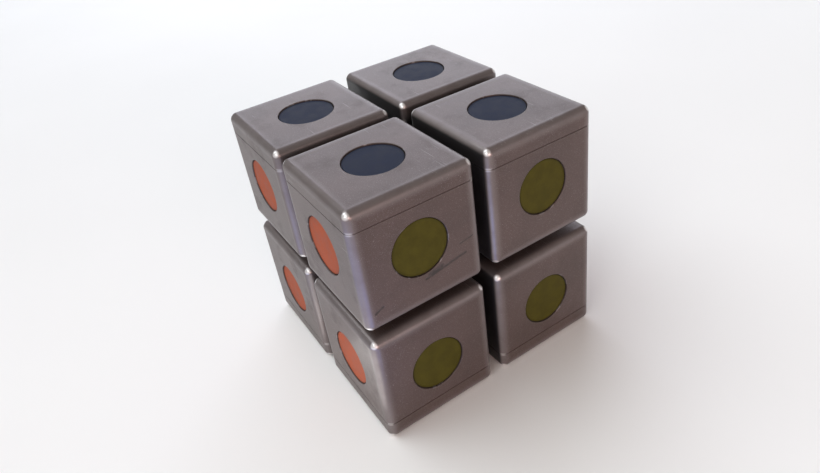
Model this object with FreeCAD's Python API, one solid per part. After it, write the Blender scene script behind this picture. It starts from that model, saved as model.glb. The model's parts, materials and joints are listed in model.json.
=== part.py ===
"""Two-by-two turning cube: eight equal hollow cubelets carried by a hidden centre-and-edge mechanism.

Frame: origin at the middle of the cube, +Z up, +X to the right face, +Y to the back face. Millimetres.
Each piece is written to parts/ as one STEP file.

The inside is two nested ball shells around a round core. Every layer is cut from the middle slice by a
flat face in each shell, nearer the origin in the inner shell than in the outer one, so each foot is held
down by the wider shoulders of its neighbours: corners under edges, edges under centres, centres under
their screws.
"""
import FreeCAD, Part
import itertools
import math
import os

from FreeCAD import Placement, Rotation, Vector

# ---- cube and cubelets ---------------------------------------------------------------------------------
CUBE = 50.0             # outer size, flat to flat
GAP = 2.5               # open slot between neighbouring cubelets
EDGE_R = 1.4            # rounding of every cubelet edge
WALL = 1.8              # shell thickness of a cubelet
CAP_H = 3.75            # height of the cap that closes a cubelet, at the top and bottom faces
SEAM_W = 0.14           # parting line between cap and cubelet
SEAM_DEPTH = 0.09
LIP_T = 1.0             # locating lip of the cap, inside the cubelet's wall
LIP_H = 2.0
LIP_PLAY = 0.1
PEG_R = 1.5             # peg of the cap, and the hollow post that it plugs into
PEG_H = 8.0
PEG_PLAY = 0.05
POST_R = 2.8

# ---- coloured inlays -----------------------------------------------------------------------------------
RECESS_R = 5.42         # round recess in each outer face
RECESS_DEPTH = 0.6
RECESS_RIM_R = 0.15     # softened rim of the recess
INLAY_R = 5.32
INLAY_T = 0.4
INLAY_EDGE_R = 0.1

# ---- mechanism -----------------------------------------------------------------------------------------
BALL_CORE = 9.0         # radii of the ball faces between core, inner shell, outer shell and cubelets
BALL_MIDDLE = 13.0
BALL_OUTER = 17.5
CUT_INNER = 3.6         # distance of the layer cuts from the origin, inner and outer shell
CUT_OUTER = 5.4
PLAY = 0.3              # clearance between any two faces that slide past each other

STEM_R = 2.4            # stems of the core, the axles of the six centres
STEM_TOP = 11.5
STEM_PLAY = 0.15
PILOT_R = 1.0           # screw hole in a stem
PILOT_END = 4.8
CORE_DIMPLE_R = 2.4     # lightening dimples of the core
CORE_DIMPLE_FLOOR = 5.0

SHOULDER_T = 1.2        # web of a centre, which the spring presses on
SHOULDER_BORE_R = 1.35
HEAD_BORE_R = 3.25

SHANK_R = 0.95          # screw, washer and spring of a centre
SHANK_END = 5.2         # tip of the screw, from the origin
SPRING_R = 2.3          # to the middle of the wire
SPRING_WIRE_R = 0.28
SPRING_TURNS = 3
SPRING_H = 2.1
SPRING_PLAY = 0.05
COIL_POINTS = 12        # points of the coil's curve in each turn
WASHER_R = 2.9
WASHER_BORE_R = 1.1
WASHER_T = 0.4
HEAD_R = 2.4
HEAD_H = 1.3
HEAD_EDGE_R = 0.35
CROSS_L = 3.0           # driver cross in the screw head
CROSS_W = 0.6
CROSS_DEPTH = 0.7

# ---- worked out ----------------------------------------------------------------------------------------
HALF = CUBE / 2
INNER = GAP / 2                         # inner face of a cubelet, from the origin
FACE_MID = (INNER + HALF) / 2           # middle of a cubelet's outer face
SEAM_Z = HALF - CAP_H
FAR = 2 * BALL_OUTER
SHOULDER_Z = STEM_TOP + STEM_PLAY
SPRING_SEAT_Z = SHOULDER_Z + SHOULDER_T
WASHER_Z = SPRING_SEAT_Z + SPRING_H
HEAD_Z = WASHER_Z + WASHER_T

UP = Vector(0, 0, 1)
SIGNS = (-1, 0, 1)
WORDS = {(2, 1): "up", (2, -1): "down", (0, 1): "right", (0, -1): "left",
         (1, 1): "back", (1, -1): "front"}


# ---- helpers -------------------------------------------------------------------------------------------
def label(direction):
    """Words for a direction, such as up_right_front for (1, -1, 1)."""
    return "_".join(WORDS[axis, direction[axis]] for axis in (2, 0, 1) if direction[axis])


def directions(count):
    """Directions with the given number of non-zero parts: 1 for centres, 2 for edges, 3 for corners."""
    return [d for d in itertools.product(SIGNS, repeat=3) if sum(map(abs, d)) == count]


def box(low, high):
    return Part.makeBox(*(high - low), low)


def cube_block(low, high):
    """Box with the same span along X, Y and Z."""
    return box(Vector(low, low, low), Vector(high, high, high))


def disc(radius, low, high, x=0.0, y=0.0):
    """Cylinder along Z between two heights."""
    return Part.makeCylinder(radius, high - low, Vector(x, y, low), UP)


def ball_shell(inner, outer):
    return Part.makeSphere(outer).cut(Part.makeSphere(inner))


def circles(shape, radius, reach):
    """Round edges of the given radius whose centre is at the given distance along X, Y or Z."""
    curved = [e for e in shape.Edges if not e.Degenerated and isinstance(e.Curve, Part.Circle)]
    return [e for e in curved if abs(e.Curve.Radius - radius) < 1e-6
            and abs(max(e.Curve.Center) - reach) < 1e-6]


def turned(shape, rotation):
    return shape.transformed(Placement(Vector(), rotation).toMatrix(), copy=True)


def turn_from_up(direction):
    """Rotation that carries +Z to a direction."""
    return Rotation(UP, Vector(*direction))


def face_turns():
    """Rotations about the (1, 1, 1) diagonal, which carry the top face to itself, right and back."""
    return [Rotation(Vector(1, 1, 1), angle) for angle in (0, 120, 240)]


def write(name, shape):
    shape.exportStep(os.path.join("parts", name + ".step"))


# ---- mechanism pieces ----------------------------------------------------------------------------------
def span(sign, cut):
    """Range of a piece along one axis: within the middle slice, or beyond its cut on one side."""
    near, far = cut + PLAY / 2, FAR
    return {0: (PLAY / 2 - cut, cut - PLAY / 2), 1: (near, far), -1: (-far, -near)}[sign]


def slice_block(direction, cut):
    lows, highs = zip(*(span(sign, cut) for sign in direction))
    return box(Vector(*lows), Vector(*highs))


def shell_piece(direction, reach=BALL_OUTER - PLAY / 2):
    """Piece with a foot in the inner shell, shoulders in the outer one and a neck that joins them."""
    inner = slice_block(direction, CUT_INNER)
    outer = slice_block(direction, CUT_OUTER)
    foot = inner.common(ball_shell(BALL_CORE + PLAY / 2, BALL_MIDDLE - PLAY / 2))
    shoulders = outer.common(ball_shell(BALL_MIDDLE + PLAY / 2, BALL_OUTER - PLAY / 2))
    neck = inner.common(outer).common(ball_shell(BALL_CORE + PLAY / 2, reach))
    return foot.fuse([shoulders, neck]).removeSplitter()


def centre():
    """Centre of the top face, bored for its stem, screw and spring."""
    return shell_piece((0, 0, 1)).cut([
        disc(STEM_R + STEM_PLAY, 0, SHOULDER_Z),
        disc(SHOULDER_BORE_R, SHOULDER_Z, SPRING_SEAT_Z),
        disc(HEAD_BORE_R, SPRING_SEAT_Z, FAR),
    ])


def core():
    """Round core with six stems, and a dimple towards each corner."""
    stems = [turned(disc(STEM_R, 0, STEM_TOP), turn_from_up(d)) for d in directions(1)]
    pilots = [turned(disc(PILOT_R, PILOT_END, STEM_TOP), turn_from_up(d)) for d in directions(1)]
    dimple = disc(CORE_DIMPLE_R, CORE_DIMPLE_FLOOR, BALL_CORE)
    dimples = [turned(dimple, turn_from_up(d)) for d in directions(3)]
    ball = Part.makeSphere(BALL_CORE - PLAY / 2)
    return ball.fuse(stems).cut(pilots + dimples)


def screw():
    top = HEAD_Z + HEAD_H
    blank = disc(HEAD_R, HEAD_Z, top)
    head = blank.makeFillet(HEAD_EDGE_R, circles(blank, HEAD_R, top))
    slots = [box(Vector(-length / 2, -width / 2, top - CROSS_DEPTH), Vector(length / 2, width / 2, top))
             for length, width in ((CROSS_L, CROSS_W), (CROSS_W, CROSS_L))]
    return head.fuse(disc(SHANK_R, SHANK_END, HEAD_Z)).cut(slots)


def washer():
    return disc(WASHER_R, WASHER_Z, HEAD_Z).cut(disc(WASHER_BORE_R, WASHER_Z, HEAD_Z))


def spring():
    """Coil spring between the web of the centre and the washer."""
    start = SPRING_SEAT_Z + SPRING_WIRE_R + SPRING_PLAY
    rise = SPRING_H - 2 * (SPRING_WIRE_R + SPRING_PLAY)
    steps = SPRING_TURNS * COIL_POINTS
    points = []
    for i in range(steps + 1):
        angle, height = math.tau * i / COIL_POINTS, start + rise * i / steps
        points.append(Vector(SPRING_R * math.cos(angle), SPRING_R * math.sin(angle), height))
    coil = Part.BSplineCurve()
    coil.interpolate(points)
    tangent = coil.tangent(coil.FirstParameter)[0]
    section = Part.Wire(Part.makeCircle(SPRING_WIRE_R, points[0], tangent))
    return Part.Wire(coil.toShape()).makePipeShell([section], True, True)


def screw_spring_sets():
    """Screw, washer and spring on all six stems."""
    one = [screw(), washer(), spring()]
    return Part.makeCompound([turned(s, turn_from_up(d)) for d in directions(1) for s in one])


# ---- cubelet of the (1, 1, 1) corner -------------------------------------------------------------------
def rounded_cubelet(inset=0.0):
    block = cube_block(INNER + inset, HALF - inset)
    return block.makeFillet(EDGE_R - inset, block.Edges)


def seam_ring():
    """Band just under the outer faces, on both sides of the parting line."""
    band = box(Vector(0, 0, SEAM_Z - SEAM_W / 2), Vector(HALF, HALF, SEAM_Z + SEAM_W / 2))
    inside = box(Vector(INNER, INNER, 0), Vector(HALF, HALF, FAR))
    core_block = box(Vector(INNER + SEAM_DEPTH, INNER + SEAM_DEPTH, 0),
                     Vector(HALF - SEAM_DEPTH, HALF - SEAM_DEPTH, FAR))
    upright = [e for e in core_block.Edges if e.BoundBox.ZLength > HALF]
    return band.common(inside).cut(core_block.makeFillet(EDGE_R - SEAM_DEPTH, upright))


def face_recesses():
    """Round recess in the top, right and back face."""
    tool = disc(RECESS_R, HALF - RECESS_DEPTH, HALF + RECESS_DEPTH, FACE_MID, FACE_MID)
    return [turned(tool, turn) for turn in face_turns()]


def cubelet_outline():
    """Solid block of a cubelet and its cap: rounded, recessed and marked by the parting line."""
    block = rounded_cubelet().cut(face_recesses())
    return block.makeFillet(RECESS_RIM_R, circles(block, RECESS_R, HALF)).cut(seam_ring())


def cubelet():
    """Hollow cubelet, open at the cap, with the foot that the mechanism holds."""
    below_seam = box(Vector(0, 0, 0), Vector(FAR, FAR, SEAM_Z))
    hollow = cube_block(INNER + WALL, HALF - WALL)
    hollow = hollow.fuse(box(Vector(INNER + WALL, INNER + WALL, SEAM_Z - LIP_H),
                             Vector(HALF - WALL, HALF - WALL, FAR)))
    hollow = hollow.cut([Part.makeSphere(BALL_OUTER + PLAY / 2 + WALL),
                         disc(POST_R, 0, SEAM_Z, FACE_MID, FACE_MID)])
    socket = disc(PEG_R + PEG_PLAY, SEAM_Z - PEG_H, FAR, FACE_MID, FACE_MID)
    seat = Part.makeSphere(BALL_OUTER + PLAY / 2)
    shell = cubelet_outline().common(below_seam).cut([hollow, socket, seat])
    return shell.fuse(shell_piece((1, 1, 1), reach=BALL_OUTER + WALL)).removeSplitter()


def cap():
    """Cap of a cubelet, with its locating lip and peg."""
    above_seam = box(Vector(0, 0, SEAM_Z), Vector(FAR, FAR, FAR))
    lip_out, lip_in = INNER + WALL + LIP_PLAY, INNER + WALL + LIP_PLAY + LIP_T
    far_out, far_in = HALF - WALL - LIP_PLAY, HALF - WALL - LIP_PLAY - LIP_T
    lip = box(Vector(lip_out, lip_out, SEAM_Z - LIP_H), Vector(far_out, far_out, SEAM_Z))
    pocket = box(Vector(lip_in, lip_in, SEAM_Z - LIP_H), Vector(far_in, far_in, HALF - WALL))
    peg = disc(PEG_R, SEAM_Z - PEG_H + PEG_R, HALF - WALL, FACE_MID, FACE_MID)
    lid = cubelet_outline().common(above_seam).fuse(lip).cut(pocket)
    return lid.fuse(peg).removeSplitter()


def inlay():
    """Coloured disc in the recess of the top face."""
    floor = HALF - RECESS_DEPTH
    plate = disc(INLAY_R, floor, floor + INLAY_T, FACE_MID, FACE_MID)
    return plate.makeFillet(INLAY_EDGE_R, circles(plate, INLAY_R, floor + INLAY_T))


# ---- assembly ------------------------------------------------------------------------------------------
def corner_turn(direction):
    """Rotation that carries the (1, 1, 1) corner to another one and keeps its cap on the outer Z face."""
    flip = Rotation(Vector(1, 1, 0), 180) if direction[2] < 0 else Rotation()
    for quarter in range(4):
        turn = Rotation(UP, 90 * quarter) * flip
        if (turn * Vector(1, 1, 1) - Vector(*direction)).Length < 1e-6:
            return turn


def write_corner(direction, body, lid, plates):
    """Cubelet, cap and three inlays of one corner."""
    turn = corner_turn(direction)
    corner = label(direction)
    write("cubelet_" + corner, turned(body, turn))
    write("cap_" + corner, turned(lid, turn))
    for normal, plate in plates:
        moved = turn * normal
        face = label([round(part) for part in moved])
        write("inlay_" + face + "_of_" + corner, turned(plate, turn))


def main():
    os.makedirs("parts", exist_ok=True)
    write("core", core())
    write("screw_spring_sets", screw_spring_sets())
    top_centre = centre()
    for d in directions(1):
        write("centre_" + label(d), turned(top_centre, turn_from_up(d)))
    for d in directions(2):
        write("edge_" + label(d), shell_piece(d))
    body, lid = cubelet(), cap()
    plates = [(turn * UP, turned(inlay(), turn)) for turn in face_turns()]
    for d in directions(3):
        write_corner(d, body, lid, plates)


main()
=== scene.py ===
"""Looks of the two-by-two turning cube: silver cubelets, round coloured inlays, a black mechanism.

Lengths are in metres, in the CAD model's frame: origin at the middle of the cube, +Z up, -Y front.
Patterns use each piece's object coordinates, the same as the frame's, so they turn with the piece.
"""
import json
import math
from functools import cached_property

import bmesh
import bpy
from mathutils import Matrix, Vector

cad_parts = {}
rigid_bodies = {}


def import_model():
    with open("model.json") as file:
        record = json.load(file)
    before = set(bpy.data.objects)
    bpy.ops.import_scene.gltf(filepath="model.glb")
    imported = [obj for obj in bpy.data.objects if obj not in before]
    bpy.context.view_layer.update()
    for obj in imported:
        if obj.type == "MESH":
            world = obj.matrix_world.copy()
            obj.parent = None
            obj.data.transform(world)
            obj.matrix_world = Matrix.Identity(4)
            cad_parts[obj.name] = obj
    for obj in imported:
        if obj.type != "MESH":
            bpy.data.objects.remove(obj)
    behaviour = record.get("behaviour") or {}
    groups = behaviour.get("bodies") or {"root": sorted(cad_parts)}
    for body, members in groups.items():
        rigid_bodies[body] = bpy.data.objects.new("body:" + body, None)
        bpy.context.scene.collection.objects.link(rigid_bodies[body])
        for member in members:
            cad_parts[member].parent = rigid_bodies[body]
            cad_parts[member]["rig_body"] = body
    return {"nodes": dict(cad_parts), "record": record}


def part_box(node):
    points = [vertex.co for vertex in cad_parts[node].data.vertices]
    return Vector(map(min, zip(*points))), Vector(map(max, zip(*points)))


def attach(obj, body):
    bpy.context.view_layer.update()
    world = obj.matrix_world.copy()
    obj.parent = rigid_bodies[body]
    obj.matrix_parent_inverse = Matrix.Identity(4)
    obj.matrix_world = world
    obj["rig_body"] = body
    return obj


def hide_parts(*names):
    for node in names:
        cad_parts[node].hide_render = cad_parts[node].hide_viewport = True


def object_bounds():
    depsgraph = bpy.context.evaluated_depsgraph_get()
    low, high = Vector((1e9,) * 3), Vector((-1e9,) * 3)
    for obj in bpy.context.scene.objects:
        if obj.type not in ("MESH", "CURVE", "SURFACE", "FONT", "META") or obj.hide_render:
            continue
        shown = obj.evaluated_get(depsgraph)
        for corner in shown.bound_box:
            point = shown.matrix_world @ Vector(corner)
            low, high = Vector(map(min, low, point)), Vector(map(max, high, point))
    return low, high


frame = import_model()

cad_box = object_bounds()

MM = 0.001
DISCS = [n for n in frame["nodes"] if n.startswith("inlay_")]
SHELLS = [n for n in frame["nodes"] if n.startswith(("cubelet_", "cap_"))]
INSIDES = [n for n in frame["nodes"] if n not in DISCS + SHELLS]
SCRATCHED = "cubelet_up_right_front"

# ---- sizes read from the frame ------------------------------------------------------------------
HALF = cad_box[1].x                                 # outer face, from the middle of the cube
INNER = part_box("cap_up_right_back")[0].x            # inner face of a cubelet, from the middle
SEAM_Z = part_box("cubelet_up_right_back")[1].z       # parting line between cubelet and cap
FACE_MID = (HALF + INNER) / 2                       # middle of a cubelet's outer face
FACE_HALF = (HALF - INNER) / 2                      # from there to the cubelet's sides
INLAY_LOW, INLAY_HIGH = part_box("inlay_up_of_up_right_back")
INLAY_R = (INLAY_HIGH.x - INLAY_LOW.x) / 2
INLAY_T = INLAY_HIGH.z - INLAY_LOW.z
RECESS_R = INLAY_R + 0.1 * MM
CORNER_DROP = 0.59 * MM                             # from each face to the tip of a rounded corner

# ---- camera -------------------------------------------------------------------------------------
CAMERA_AT = Vector((0.10092, -0.05366, 0.0770))
CAMERA_AZIMUTH = 60.08                              # degrees, as the two below
CAMERA_TILT = 31.73
CAMERA_ROLL = -7.79
CAMERA_LENS = 29.13                                 # millimetres, as the next one
CAMERA_SENSOR = 36.0
CAMERA_SHIFT = (-0.0244, -0.0567)
CAMERA_CLIP = (0.005, 20.0)

# ---- lights -------------------------------------------------------------------------------------
WORLD_COLOUR, WORLD_STRENGTH = (1.12, 1.0, 0.88), 0.18
SUN_FROM = (-0.38, -0.36, 0.85)                     # front left: no bright line on the right edges
SUN_COLOUR, SUN_STRENGTH, SUN_ANGLE = (0.93, 1.0, 1.04), 1.68, math.radians(50)
SQUARE_LIGHTS = (
    # name, direction from the cube, distance, side, power in watts, colour
    ("window", (-0.737, 0.424, 0.526), 0.7, 0.6, 2.15, (0.96, 1.0, 1.14)),
    ("spark", (0.387, -0.70, 0.598), 0.5, 0.2, 0.46, (1.0, 1.0, 1.0)),
    ("warm_fill", (1.0, -0.15, 0.12), 0.8, 0.5, 4.2, (1.0, 0.69, 0.62)),
)
TABLE_LIGHTS = (
    # name, middle in X and Y, size in X and Y, power in watts, colour
    ("table_front", (0.020, -0.078), (0.070, 0.040), 0.012, (0.27, 0.40, 1.0)),
    ("table_side", (0.058, -0.040), (0.026, 0.044), 0.009, (0.27, 0.40, 1.0)),
    ("table_near", (0.018, -0.041), (0.040, 0.018), 0.004, (1.0, 1.0, 0.97)),
)
TABLE_LIGHT_LIFT = 0.2 * MM

# ---- colours, linear ----------------------------------------------------------------------------
SILVER_LIGHT = (0.092, 0.064, 0.058)
SILVER_DARK = (0.077, 0.054, 0.049)
# light silver of flakes and scuffs, and of the rubbed edges, where it is also a painted highlight
SILVER_WORN_AND_HIGHLIGHT = (0.52, 0.50, 0.51)
# near white of the painted glints at corners and parting-line ends
SILVER_PAINTED_GLINT = (0.93, 0.92, 0.92)
# dark grey of smears and scratches, also the painted shade round recesses and in parting lines
GRIME_AND_SHADE = (0.030, 0.027, 0.026)
# dark plastic of the mechanism, also used as the painted shade deep in the gaps
PLASTIC_DARK_AND_GAP_SHADE, PLASTIC_LIGHT = (0.010, 0.010, 0.011), (0.020, 0.020, 0.021)
CORE_DARK, CORE_LIGHT = (0.50, 0.49, 0.46), (0.60, 0.59, 0.56)
STEEL_DARK, STEEL_LIGHT = (0.42, 0.41, 0.40), (0.60, 0.60, 0.61)
FLOOR_DARK, FLOOR_LIGHT = (0.872, 0.868, 0.862), (0.892, 0.888, 0.882)
INLAY_COLOURS = {
    "inlay_navy": (0.017, 0.022, 0.043),
    "inlay_red_orange": (0.330, 0.074, 0.032),
    "inlay_olive": (0.058, 0.051, 0.009),
    "inlay_white": (0.66, 0.64, 0.60),
    "inlay_dark_red": (0.28, 0.012, 0.018),
    "inlay_green": (0.018, 0.20, 0.060),
}

# ---- wear, dirt, painted highlights and painted shade of the silver paint -----------------------
POLISH_HIGHLIGHT_REACH = 2.3 * MM                             # rubbed band along the edges, wear that is also painted lighter as an edge highlight
CALM_REACH = 2.0 * MM                               # band along the edges without flakes or bumps
CORNER_GLINT_REACH = 0.8 * MM                             # painted highlight: glint spot at each rounded corner
NOTCH_GLINT_REACH = 0.5 * MM                              # painted highlight: glint spot where the parting line meets an edge
NOTCH_EDGE = (1.1 * MM, 0.6 * MM)                   # how near to the edge it starts and is full
RIM_GLINT_WIDTH = 0.3 * MM                               # painted glints round a recess rim
SHADE_BAND_WIDTH = 0.2 * MM                               # painted shade round a recess and in a parting line
OUTER_SKIN = (1.0 * MM, 0.7 * MM)                   # depth under an outer face: starts, is full
INNER_SKIN = (0.40 * MM, 0.06 * MM)                 # the same for an inner wall
GAP_SHADE_DEPTHS = (                                      # depth in a slot where the painted shade starts, is full
    (1.9 * MM, 4.0 * MM),                           # on walls across X
    (0.4 * MM, 1.2 * MM),                           # on walls across Y
    (3.0 * MM, 7.0 * MM),                           # on walls across Z
)
COVER = {                                           # how far each mark hides what is below it
    # corner and notch_glint: painted glints; polish_and_highlight: wear painted lighter as
    # highlights; rim shade, seam shade, gap shade: painted shade
    "flakes": 0.2, "smear": 0.14, "polish_and_highlight": 0.28, "corner": 0.8, "notch_glint": 0.35, "scuffs": 0.22,
    "rim shade": 0.30, "seam shade": 0.05, "gap shade": 0.92, "scratches": 0.85,
}
SILVER_ROUGHNESS = (0.38, 0.48)                     # where clean, where smeared
SILVER_METAL = (0.32, 0.56)                         # plain paint, paint polished by wear
POLISH_SMOOTHS = 0.07                               # roughness that the polish takes away
BUMP_DEPTH, WAVE_DEPTH = 0.010 * MM, 0.10 * MM      # fine marks, slow waves
GRAIN_RISE, SCUFF_RISE, SCRATCH_RISE = 0.35, -0.5, -4.0     # as shares of the bump depth
SCRATCHES = (
    # start and end in Y and Z on the right face of the upper front cubelet, half width; millimetres
    ((-12.9, 6.6), (-4.7, 7.9), 0.34),
    ((-12.0, 7.2), (-9.6, 7.5), 0.75),
    ((-23.0, 4.9), (-21.6, 5.6), 0.34),
    ((-5.6, 10.2), (-3.0, 10.7), 0.22),
)

# ---- marks of the inlays ------------------------------------------------------------------------
INLAY_SHADES = (0.86, 1.10)                         # times the colour, in the mottle's two halves
SPECK_SHADE, SPECK_COVER = 1.5, 0.25
SPOT_AND_RIM_SHADE, SPOT_AND_RIM_COVER = 0.35, 0.38
INLAY_DARK_RIM_WIDTH = 0.55 * MM                        # darker band inside the rim

# ---- meshes -------------------------------------------------------------------------------------
WELD = 0.5e-6                                       # CAD points nearer than this are one
SHARP = math.radians(32)                            # edges that turn more than this stay sharp
TURN_STEPS = 96                                     # sides of a turned shape
INLAY_CROWN = 0.05 * MM                             # fall of the top from middle to rim
INLAY_SHOULDER = 0.12 * MM                          # radius of the rounded shoulder
FLOOR_FLAT, FLOOR_REACH, FLOOR_RISE = 1.8, 3.4, 1.5     # radius where it rises, its end, height there
FLOOR_BENDS = 16


# ---- shader helpers -----------------------------------------------------------------------------
class Shader:
    """A material with one Principled shader, and short calls that add nodes to it."""

    def __init__(self, name, **sockets):
        self.material = bpy.data.materials.new(name)
        self.material.use_nodes = True
        self.tree = self.material.node_tree
        self.out = self.tree.nodes["Principled BSDF"]
        for socket, value in sockets.items():
            self.out.inputs[socket.replace("_", " ")].default_value = value
        self.place = self.add("ShaderNodeTexCoord").outputs["Object"]

    def add(self, kind, **settings):
        node = self.tree.nodes.new(kind)
        for key, value in settings.items():
            setattr(node, key, value)
        return node

    def feed(self, socket, value):
        """Links a node's output to a socket, or sets the socket's own value."""
        if isinstance(value, bpy.types.NodeSocket):
            self.tree.links.new(value, socket)
        else:
            socket.default_value = value

    def math(self, operation, *values, clamp=False):
        node = self.add("ShaderNodeMath", operation=operation, use_clamp=clamp)
        for socket, value in zip(node.inputs, values):
            self.feed(socket, value)
        return node.outputs[0]

    def times(self, first, second):
        return self.math("MULTIPLY", first, second)

    def plus(self, first, second):
        return self.math("ADD", first, second)

    def highest(self, first, *others):
        for other in others:
            first = self.math("MAXIMUM", first, other)
        return first

    def vector(self, operation, *values, scale=None):
        node = self.add("ShaderNodeVectorMath", operation=operation)
        for socket, value in zip(node.inputs, values):
            self.feed(socket, value)
        if scale is not None:
            self.feed(node.inputs["Scale"], scale)
        return node.outputs["Value" if operation in ("DOT_PRODUCT", "LENGTH") else "Vector"]

    def split(self, vector):
        """The X, Y and Z of a vector."""
        node = self.add("ShaderNodeSeparateXYZ")
        self.feed(node.inputs[0], vector)
        return tuple(node.outputs)

    def ramp(self, value, start, end, low=0.0, high=1.0):
        """Smooth step from low to high while a value goes from start to end."""
        node = self.add("ShaderNodeMapRange", interpolation_type="SMOOTHSTEP")
        for socket, item in zip(node.inputs, (value, start, end, low, high)):
            self.feed(socket, item)
        return node.outputs["Result"]

    def noise(self, size, detail=3.0, roughness=0.5, place=None, output="Fac"):
        """Noise from 0 to 1 with features of about the given size in metres."""
        node = self.add("ShaderNodeTexNoise")
        self.feed(node.inputs["Vector"], place or self.place)
        self.feed(node.inputs["Scale"], 1 / size)
        self.feed(node.inputs["Detail"], detail)
        self.feed(node.inputs["Roughness"], roughness)
        return node.outputs[output]

    def mix(self, factor, first, second):
        """Colour that goes from the first to the second as the factor goes from 0 to 1."""
        node = self.add("ShaderNodeMix", data_type="RGBA")
        for name, value in (("Factor", factor), ("A", first), ("B", second)):
            kind = "VALUE" if name == "Factor" else "RGBA"
            socket = next(s for s in node.inputs if s.name == name and s.type == kind)
            self.feed(socket, (*value, 1.0) if isinstance(value, tuple) else value)
        return next(s for s in node.outputs if s.type == "RGBA")

    def bump(self, height, depth, normal=None):
        """Bump whose height of 1 stands for depth metres."""
        node = self.add("ShaderNodeBump")
        self.feed(node.inputs["Strength"], 1.0)
        self.feed(node.inputs["Distance"], depth)
        self.feed(node.inputs["Height"], height)
        if normal is not None:
            self.feed(node.inputs["Normal"], normal)
        return node.outputs["Normal"]

    def finish(self, colour, roughness, normal):
        for name, value in (("Base Color", colour), ("Roughness", roughness), ("Normal", normal)):
            self.feed(self.out.inputs[name], value)
        return self.material


class CubeletPlace:
    """Where a point lies on its cubelet, the same for all eight, and masks that follow from it."""

    def __init__(self, shader):
        self.s = shader
        self.mirrored = shader.vector("ABSOLUTE", shader.place)
        self.offset = shader.vector("SUBTRACT", self.mirrored, (FACE_MID,) * 3)
        self.parts = shader.split(self.offset)
        self.outward = shader.highest(*self.parts)

    @cached_property
    def from_face_mid(self):
        """Distance from the middle of the nearest outer face, along that face."""
        square = self.s.vector("DOT_PRODUCT", self.offset, self.offset)
        beside = self.s.math("SUBTRACT", square, self.s.times(self.outward, self.outward))
        return self.s.math("SQRT", self.s.highest(beside, 0.0))

    @cached_property
    def sizes(self):
        """How far the point is from the cubelet's middle along X, Y and Z."""
        return [self.s.math("ABSOLUTE", part) for part in self.parts]

    @cached_property
    def second(self):
        """The second largest of the three sizes, which reaches FACE_HALF on an edge."""
        x, y, z = self.sizes
        low, high = self.s.math("MINIMUM", x, y), self.s.highest(x, y)
        return self.s.highest(low, self.s.math("MINIMUM", high, z))

    def edge(self, reach):
        """1 on the rounded edges, falling to 0 at the given distance inside them."""
        return self.s.ramp(self.second, FACE_HALF - reach, FACE_HALF)

    def corner(self, reach):
        """1 at the middle of a rounded corner, falling to 0 at the given distance from it."""
        middle = (FACE_HALF - CORNER_DROP,) * 3
        away = self.s.vector("SUBTRACT", self.s.vector("ABSOLUTE", self.offset), middle)
        return self.s.ramp(self.s.vector("LENGTH", away), reach, 0.4 * reach)

    def notch_glint(self):
        """1 where the parting line runs over an upright edge."""
        start, full = NOTCH_EDGE
        nearer = self.s.math("MINIMUM", *self.sizes[:2])
        upright = self.s.ramp(nearer, FACE_HALF - start, FACE_HALF - full)
        return self.s.times(upright, self.seam(NOTCH_GLINT_REACH))

    def wall(self, axis, shade_starts, shade_full):
        """1 on the inner walls across an axis, where they lie deep enough in the gap for the painted
        shade.
        """
        across, others = self.parts[axis], [p for i, p in enumerate(self.parts) if i != axis]
        fades, full = INNER_SKIN
        facing = self.s.ramp(across, fades - FACE_HALF, full - FACE_HALF)
        deep = self.s.ramp(self.s.highest(*others), FACE_HALF - shade_starts, FACE_HALF - shade_full)
        return self.s.times(facing, deep)

    def inside(self):
        """1 on the inner walls deep in the gaps, where near black is painted as shade."""
        return self.s.highest(*(self.wall(axis, *depths) for axis, depths in enumerate(GAP_SHADE_DEPTHS)))

    def seam(self, width):
        """1 in the parting line, 0 at the given distance from it."""
        height = self.s.split(self.mirrored)[2]
        away = self.s.math("ABSOLUTE", self.s.math("SUBTRACT", height, SEAM_Z))
        return self.s.ramp(away, width, 0.0)

    def rim(self, width):
        """1 at the wall of a recess, 0 at the given distance outside it."""
        fades, full = OUTER_SKIN
        outer_face = self.s.ramp(self.outward, FACE_HALF - fades, FACE_HALF - full)
        return self.s.times(outer_face, self.s.ramp(self.from_face_mid, RECESS_R + width, RECESS_R))


def stroke(shader, place, start, end, width):
    """Mask of one scratch: 1 along the line between two points, 0 at the given distance from it."""
    along = end - start
    offset = shader.vector("SUBTRACT", place, tuple(start))
    reached = shader.vector("DOT_PRODUCT", offset, tuple(along))
    share = shader.math("DIVIDE", reached, along.length_squared, clamp=True)
    nearest = shader.vector("SCALE", tuple(along), scale=share)
    away = shader.vector("LENGTH", shader.vector("SUBTRACT", offset, nearest))
    return shader.ramp(away, width, 0.3 * width)


def on_right_face(y, z):
    """Point on the cube's right face, from millimetres."""
    return Vector((HALF, y * MM, z * MM))


def scratch_mask(shader):
    """All scratches together, their lines bent a little by noise and broken up by more of it."""
    ragged = shader.noise(1.2 * MM, detail=2.0, output="Color")
    centred = shader.vector("SUBTRACT", ragged, (0.5, 0.5, 0.5))
    wobble = shader.vector("SCALE", centred, scale=0.35 * MM)
    place = shader.vector("ADD", shader.place, wobble)
    strokes = [stroke(shader, place, on_right_face(*start), on_right_face(*end), width * MM)
               for start, end, width in SCRATCHES]
    broken = shader.ramp(shader.noise(0.9 * MM, detail=2), 0.32, 0.55, 0.45, 1.0)
    return shader.times(shader.highest(*strokes), broken)


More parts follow.
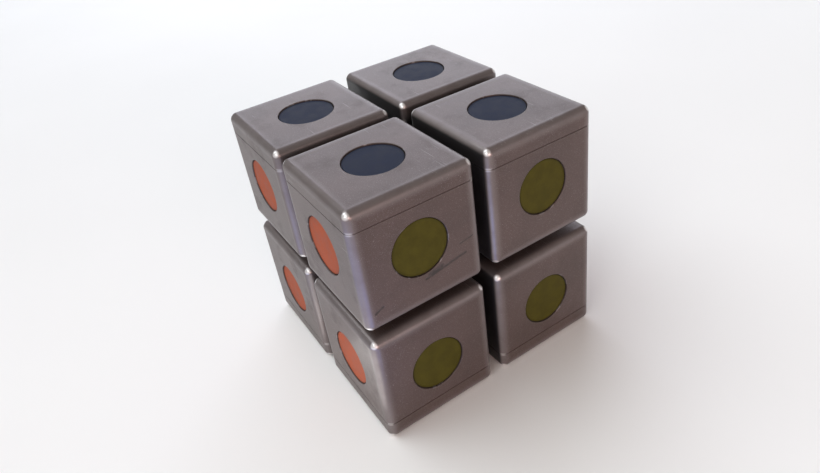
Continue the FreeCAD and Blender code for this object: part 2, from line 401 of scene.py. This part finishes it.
def hairlines(shader, turn, seed):
    """Sparse fine handling marks: noise stretched thirtyfold one way, cut to thin lines."""
    mapping = shader.add("ShaderNodeMapping")
    shader.feed(mapping.inputs["Vector"], shader.place)
    mapping.inputs["Rotation"].default_value = turn
    mapping.inputs["Location"].default_value = (seed, seed, seed)
    mapping.inputs["Scale"].default_value = (0.03, 1.0, 1.0)
    lines = shader.noise(0.22 * MM, detail=1, place=mapping.outputs["Vector"])
    patches = shader.ramp(shader.noise(7 * MM, detail=2), 0.48, 0.66)
    return shader.times(shader.ramp(lines, 0.70, 0.76), patches)


# ---- materials ----------------------------------------------------------------------------------
def silver(scratched=False):
    """Satin silver paint with wear, painted edge highlights and glints, painted shade in recesses and
    gaps.
    """
    s = Shader("silver_paint_scratched" if scratched else "silver_paint",
               Specular_IOR_Level=0.30, Coat_Weight=0.12, Coat_Roughness=0.16)
    where = CubeletPlace(s)
    calm = s.math("SUBTRACT", 1.0, where.edge(CALM_REACH))
    clouds = s.ramp(s.noise(11 * MM, detail=4), 0.3, 0.7)
    flakes = s.ramp(s.noise(0.12 * MM, detail=1), 0.55, 0.85, 0.0, COVER["flakes"])
    smear = s.ramp(s.noise(4.5 * MM, detail=5, roughness=0.62), 0.42, 0.8)
    worn = s.ramp(s.noise(3.2 * MM, detail=2), 0.3, 0.6, 0.8, 1.0)
    # painted highlights: bright metallic glints in patches round each recess rim
    rim_glints = s.times(where.rim(RIM_GLINT_WIDTH), s.ramp(s.noise(1.5 * MM, detail=2), 0.60, 0.66))
    # rubbed edges and rim glints: wear in metal and roughness, and painted highlights in the colour
    polish_and_highlight = s.highest(s.times(where.edge(POLISH_HIGHLIGHT_REACH), worn), rim_glints)
    # painted highlights: near white, metallic glints at every rounded corner and where the parting
    # line crosses an upright edge
    bright = s.highest(s.times(where.corner(CORNER_GLINT_REACH), COVER["corner"]),
                       s.times(where.notch_glint(), COVER["notch_glint"]))
    scuffs = s.highest(hairlines(s, (0.3, 0.5, 0.9), 1.7), hairlines(s, (1.2, -0.4, 0.2), 4.1))
    # painted shade: darker round each recess wall and in the parting line
    recess_seam_shade = s.highest(s.times(where.rim(SHADE_BAND_WIDTH), COVER["rim shade"]),
                     s.times(where.seam(SHADE_BAND_WIDTH), COVER["seam shade"]))
    # painted shade: inner walls deep in the gaps painted near black and not metallic
    painted_gap_shade = where.inside()
    height = s.plus(s.times(s.noise(0.5 * MM, detail=2), GRAIN_RISE), s.times(scuffs, SCUFF_RISE))

    layers = [
        (s.times(flakes, calm), SILVER_WORN_AND_HIGHLIGHT),
        (s.times(smear, COVER["smear"]), GRIME_AND_SHADE),
        (s.times(polish_and_highlight, COVER["polish_and_highlight"]), SILVER_WORN_AND_HIGHLIGHT),
        # painted glints at corners and parting-line ends
        (bright, SILVER_PAINTED_GLINT),
        (s.times(scuffs, COVER["scuffs"]), SILVER_WORN_AND_HIGHLIGHT),
        # painted shade round recesses and in parting lines
        (recess_seam_shade, GRIME_AND_SHADE),
        # painted shade deep in the gaps
        (s.times(painted_gap_shade, COVER["gap shade"]), PLASTIC_DARK_AND_GAP_SHADE),
    ]
    if scratched:
        marks = scratch_mask(s)
        layers.append((s.times(marks, COVER["scratches"]), GRIME_AND_SHADE))
        height = s.plus(height, s.times(marks, SCRATCH_RISE))
    colour = s.mix(clouds, SILVER_DARK, SILVER_LIGHT)
    for share, tint in layers:
        colour = s.mix(share, colour, tint)

    roughness = s.plus(s.ramp(smear, 0.0, 1.0, *SILVER_ROUGHNESS), s.times(polish_and_highlight, -POLISH_SMOOTHS))
    metal = s.highest(s.ramp(polish_and_highlight, 0.0, 1.0, *SILVER_METAL), bright)
    s.feed(s.out.inputs["Metallic"], s.times(metal, s.math("SUBTRACT", 1.0, painted_gap_shade)))
    waves = s.bump(s.times(s.noise(9 * MM, detail=1), calm), WAVE_DEPTH)
    return s.finish(colour, roughness, s.bump(s.times(height, calm), BUMP_DEPTH, waves))


def inlay_paint(slot):
    """Satin coloured disc: mottled, specked, spotted darker, and darker towards its rim."""
    base = Vector(INLAY_COLOURS[slot])
    s = Shader(slot + "_paint", Specular_IOR_Level=0.04, Coat_Weight=0.01, Coat_Roughness=0.2)
    where = CubeletPlace(s)
    mottle = s.ramp(s.noise(2.2 * MM, detail=5, roughness=0.65), 0.3, 0.72)
    specks = s.ramp(s.noise(0.28 * MM, detail=2), 0.62, 0.78)
    spots = s.ramp(s.noise(0.8 * MM, detail=3), 0.66, 0.78)
    rim = s.ramp(where.from_face_mid, INLAY_R - INLAY_DARK_RIM_WIDTH, INLAY_R)
    colour = s.mix(mottle, *(tuple(base * shade) for shade in INLAY_SHADES))
    colour = s.mix(s.times(specks, SPECK_COVER), colour, tuple(base * SPECK_SHADE))
    colour = s.mix(s.times(s.highest(spots, rim), SPOT_AND_RIM_COVER), colour, tuple(base * SPOT_AND_RIM_SHADE))
    roughness = s.ramp(mottle, 0.0, 1.0, 0.44, 0.56)
    grain = s.plus(s.noise(0.35 * MM, detail=3), s.times(s.noise(3 * MM, detail=1), 2.0))
    return s.finish(colour, roughness, s.bump(grain, 0.012 * MM))


def moulded(name, dark, light, grease):
    """Plain moulded plastic of the mechanism, with smears of grease on the sliding faces."""
    s = Shader(name, Specular_IOR_Level=0.45)
    cloud = s.ramp(s.noise(5 * MM, detail=4), 0.3, 0.7)
    film = s.ramp(s.noise(2.4 * MM, detail=4, roughness=0.65), 0.45, 0.62)
    colour = s.mix(cloud, dark, light)
    roughness = s.ramp(film, 0.0, 1.0, 0.5, 0.5 - grease)
    height = s.plus(s.times(s.noise(0.25 * MM, detail=2), 0.5), s.times(film, 1.2))
    return s.finish(colour, roughness, s.bump(height, 0.012 * MM))


def plated_steel():
    """Zinc plated screws, washers and springs, with fine turning marks and dull patches."""
    s = Shader("plated_steel", Metallic=1.0)
    cloud = s.ramp(s.noise(1.6 * MM, detail=4), 0.35, 0.7)
    marks = s.noise(0.09 * MM, detail=2)
    colour = s.mix(cloud, STEEL_DARK, STEEL_LIGHT)
    roughness = s.ramp(cloud, 0.0, 1.0, 0.42, 0.27)
    return s.finish(colour, roughness, s.bump(marks, 0.006 * MM))


def floor_material():
    """Pale matt floor, a little cloudy."""
    s = Shader("pale_floor", Specular_IOR_Level=0.2)
    cloud = s.ramp(s.noise(120 * MM, detail=2), 0.3, 0.7)
    colour = s.mix(cloud, FLOOR_DARK, FLOOR_LIGHT)
    return s.finish(colour, 0.85, s.bump(s.noise(1.5 * MM), 0.01 * MM))


# ---- pieces -------------------------------------------------------------------------------------
def slot_of(node):
    return next(p["material_slot"] for p in frame["record"]["subparts"] if p["node"] == node)


def to_mesh(work, name):
    """Mesh with the contents of a bmesh, which is freed."""
    mesh = bpy.data.meshes.new(name)
    work.to_mesh(mesh)
    work.free()
    return mesh


def show_instead(mesh, node, material):
    """Shows a mesh in a CAD node's place, on the same body, with the given material."""
    piece = bpy.data.objects.new(mesh.name, mesh)
    bpy.context.scene.collection.objects.link(piece)
    mesh.materials.append(material)
    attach(piece, frame["nodes"][node]["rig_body"])
    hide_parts(node)
    return piece


def finished_copy(node, name, material):
    """Welded copy of a CAD node, rounded faces shaded smooth and flat faces kept truly flat."""
    work = bmesh.new()
    work.from_mesh(frame["nodes"][node].data)
    bmesh.ops.remove_doubles(work, verts=work.verts, dist=WELD)
    for face in work.faces:
        face.smooth = True
    for edge in work.edges:
        edge.smooth = len(edge.link_faces) == 2 and edge.calc_face_angle(0.0) < SHARP
    piece = show_instead(to_mesh(work, name), node, material)
    even = piece.modifiers.new("even_normals", "WEIGHTED_NORMAL")
    even.keep_sharp = True
    even.weight = 100


def turned(work, profile):
    """Adds a surface turned about Z, from a profile of radius and height. Gives its rings."""
    angles = [math.tau * k / TURN_STEPS for k in range(TURN_STEPS)]
    rings = [[work.verts.new((r * math.cos(a), r * math.sin(a), z)) for a in angles]
             for r, z in profile]
    for inside, outside in zip(rings, rings[1:]):
        for k in range(TURN_STEPS):
            after = (k + 1) % TURN_STEPS
            work.faces.new((inside[k], outside[k], outside[after], inside[after]))
    return rings


def disc_profile():
    """Section of an inlay: slightly crowned top, fine lip, rounded shoulder and straight side."""
    shares = (0.25, 0.5, 0.75, 0.9, 0.96)
    top = [(INLAY_R * share, INLAY_T - INLAY_CROWN * share ** 2) for share in shares]
    lip = INLAY_T - 0.2 * INLAY_CROWN
    angles = [math.radians(15 * k) for k in range(1, 7)]
    shoulder = [(INLAY_R - INLAY_SHOULDER * (1 - math.sin(a)),
                 lip - INLAY_SHOULDER * (1 - math.cos(a))) for a in angles]
    return top + shoulder + [(INLAY_R, 0.0)]


def inlay_disc(node, material):
    """Turned disc in a CAD inlay's place, facing the same way."""
    low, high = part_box(node)
    axis = min(range(3), key=lambda i: high[i] - low[i])
    outward = Vector([math.copysign(1, low[i]) if i == axis else 0.0 for i in range(3)])
    bottom = (low + high) / 2
    bottom[axis] = low[axis] if low[axis] > 0 else high[axis]
    work = bmesh.new()
    rings = turned(work, disc_profile())
    middle = work.verts.new((0, 0, INLAY_T))
    for this, after in zip(rings[0], rings[0][1:] + rings[0][:1]):
        work.faces.new((middle, this, after))
    work.faces.new(list(reversed(rings[-1])))
    for face in work.faces:
        face.smooth = len(face.verts) < TURN_STEPS
    turn = Vector((0, 0, 1)).rotation_difference(outward).to_matrix().to_4x4()
    work.transform(Matrix.Translation(bottom) @ turn)
    show_instead(to_mesh(work, node.replace("inlay_", "disc_")), node, material)


def build_pieces():
    paint, scratched_paint = silver(), silver(scratched=True)
    for node in SHELLS:
        finished_copy(node, node + "_shell", scratched_paint if node == SCRATCHED else paint)
    discs = {slot: inlay_paint(slot) for slot in INLAY_COLOURS}
    for node in DISCS:
        inlay_disc(node, discs[slot_of(node)])
    insides = {
        "core_plastic": moulded("core_plastic_look", CORE_DARK, CORE_LIGHT, grease=0.10),
        "mechanism_plastic": moulded("mechanism_plastic_look", PLASTIC_DARK_AND_GAP_SHADE, PLASTIC_LIGHT,
                                     grease=0.22),
        "screw_steel": plated_steel(),
    }
    for node in INSIDES:
        finished_copy(node, node + "_finished", insides[slot_of(node)])


# ---- studio -------------------------------------------------------------------------------------
def build_floor():
    """Pale floor that sweeps up all round, far from the cube, so that no view sees past its end."""
    low, out = cad_box[0].z, FLOOR_REACH - FLOOR_FLAT
    angles = [math.pi / 2 * k / FLOOR_BENDS for k in range(FLOOR_BENDS + 1)]
    profile = [(FLOOR_FLAT + out * math.sin(a), low + FLOOR_RISE * (1 - math.cos(a)))
               for a in angles]
    work = bmesh.new()
    work.faces.new(turned(work, profile)[0])
    for face in work.faces:
        face.smooth = True
    floor = bpy.data.objects.new("floor", to_mesh(work, "floor"))
    bpy.context.scene.collection.objects.link(floor)
    floor.data.materials.append(floor_material())


def add_light(name, kind, power, colour):
    """Light at the middle of the cube, shining down."""
    data = bpy.data.lights.new(name, kind)
    data.energy, data.color = power, colour
    light = bpy.data.objects.new(name, data)
    bpy.context.scene.collection.objects.link(light)
    return light


def shine_from(light, direction, distance=0.0):
    """Moves a light out along a direction and turns it back to the cube."""
    towards = Vector(direction).normalized()
    light.location = towards * distance
    light.rotation_mode = "QUATERNION"
    light.rotation_quaternion = towards.to_track_quat("Z", "Y")


def build_lights():
    """Sky, sun and square lights for the faces, bright patches on the table for the edges."""
    world = bpy.data.worlds.new("studio")
    bpy.context.scene.world = world
    world.use_nodes = True
    sky = world.node_tree.nodes["Background"].inputs
    sky["Color"].default_value = (*WORLD_COLOUR, 1)
    sky["Strength"].default_value = WORLD_STRENGTH
    key = add_light("key", "SUN", SUN_STRENGTH, SUN_COLOUR)
    key.data.angle = SUN_ANGLE
    shine_from(key, SUN_FROM)
    for name, direction, distance, side, power, colour in SQUARE_LIGHTS:
        square = add_light(name, "AREA", power, colour)
        square.data.size = side
        shine_from(square, direction, distance)
    for name, middle, sides, power, colour in TABLE_LIGHTS:
        patch = add_light(name, "AREA", power, colour)
        patch.data.shape = "RECTANGLE"
        patch.data.size, patch.data.size_y = sides
        patch.location = (*middle, cad_box[0].z + TABLE_LIGHT_LIFT)
        patch.rotation_euler.x = math.pi


def build_camera():
    """Camera where the photograph was taken from."""
    data = bpy.data.cameras.new("camera")
    data.lens, data.sensor_width = CAMERA_LENS, CAMERA_SENSOR
    data.shift_x, data.shift_y = CAMERA_SHIFT
    data.clip_start, data.clip_end = CAMERA_CLIP
    camera = bpy.data.objects.new("camera", data)
    azimuth, tilt = math.radians(CAMERA_AZIMUTH), math.radians(CAMERA_TILT)
    flat = math.cos(tilt)
    back = Vector((math.sin(azimuth) * flat, -math.cos(azimuth) * flat, math.sin(tilt)))
    level = back.to_track_quat("Z", "Y").to_matrix().to_4x4()
    roll = Matrix.Rotation(math.radians(CAMERA_ROLL), 4, "Z")
    camera.matrix_world = Matrix.Translation(CAMERA_AT) @ level @ roll
    bpy.context.scene.collection.objects.link(camera)
    bpy.context.scene.camera = camera


bpy.context.scene.view_settings.view_transform = "Standard"
build_pieces()
build_floor()
build_lights()
build_camera()
